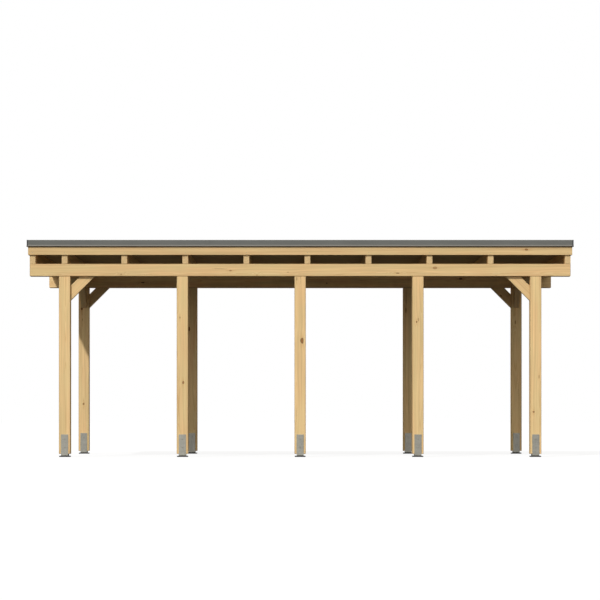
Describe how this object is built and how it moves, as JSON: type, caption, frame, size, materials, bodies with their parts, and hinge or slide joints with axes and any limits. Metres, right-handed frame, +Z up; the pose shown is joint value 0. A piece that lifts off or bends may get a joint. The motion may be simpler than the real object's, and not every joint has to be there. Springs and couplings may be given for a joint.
{
  "type": "flat-roofed timber carport",
  "caption": "open timber carport: two rows of square posts in steel shoes carry beams, joists and a flat boarded roof with a raised metal-trimmed edge",
  "frame": {"origin": "on the ground at the centre of the plan", "axes": "+X along the rows of posts, which is the way a vehicle drives in; +Y across the parking space, from the front row to the rear row; +Z up"},
  "size_m": [5.77, 2.578, 2.291],
  "materials": {
    "frame_timber": "planed softwood, clear, small knots",
    "fascia_timber": "planed softwood board",
    "deck_boards": "planed tongued softwood boards",
    "shoe_steel": "hot-dip galvanised, dull",
    "shoe_base": "dark coated steel, matt",
    "edge_trim": "grey coated sheet metal, satin",
    "corner_cap": "dark plastic, matt",
    "roof_membrane": "black roofing membrane, matt"
  },
  "bodies": {
    "root": {"end_kerbs": "frame_timber", "front_beam": "frame_timber", "front_fascia": "fascia_timber", "front_left_cross_brace": "frame_timber", "front_left_long_brace": "frame_timber", "front_post_1": "frame_timber", "front_post_2": "frame_timber", "front_post_3": "frame_timber", "front_post_4": "frame_timber", "front_post_5": "frame_timber", "front_right_cross_brace": "frame_timber", "front_right_long_brace": "frame_timber", "front_trim": "edge_trim", "joist_1": "frame_timber", "joist_10": "frame_timber", "joist_2": "frame_timber", "joist_3": "frame_timber", "joist_4": "frame_timber", "joist_5": "frame_timber", "joist_6": "frame_timber", "joist_7": "frame_timber", "joist_8": "frame_timber", "joist_9": "frame_timber", "left_cross_beam": "frame_timber", "left_fascia": "fascia_timber", "left_trim": "edge_trim", "long_kerbs": "frame_timber", "rear_beam": "frame_timber", "rear_fascia": "fascia_timber", "rear_left_cross_brace": "frame_timber", "rear_left_long_brace": "frame_timber", "rear_post_1": "frame_timber", "rear_post_2": "frame_timber", "rear_post_3": "frame_timber", "rear_post_4": "frame_timber", "rear_post_5": "frame_timber", "rear_right_cross_brace": "frame_timber", "rear_right_long_brace": "frame_timber", "rear_trim": "edge_trim", "right_cross_beam": "frame_timber", "right_fascia": "fascia_timber", "right_trim": "edge_trim", "roof_covering": "roof_membrane", "roof_deck": "deck_boards", "shoe_base_plates": "shoe_base", "shoe_seat_plates": "shoe_steel", "shoe_side_plates": "shoe_steel", "trim_corner_caps": "corner_cap"}
  },
  "joints": []
}
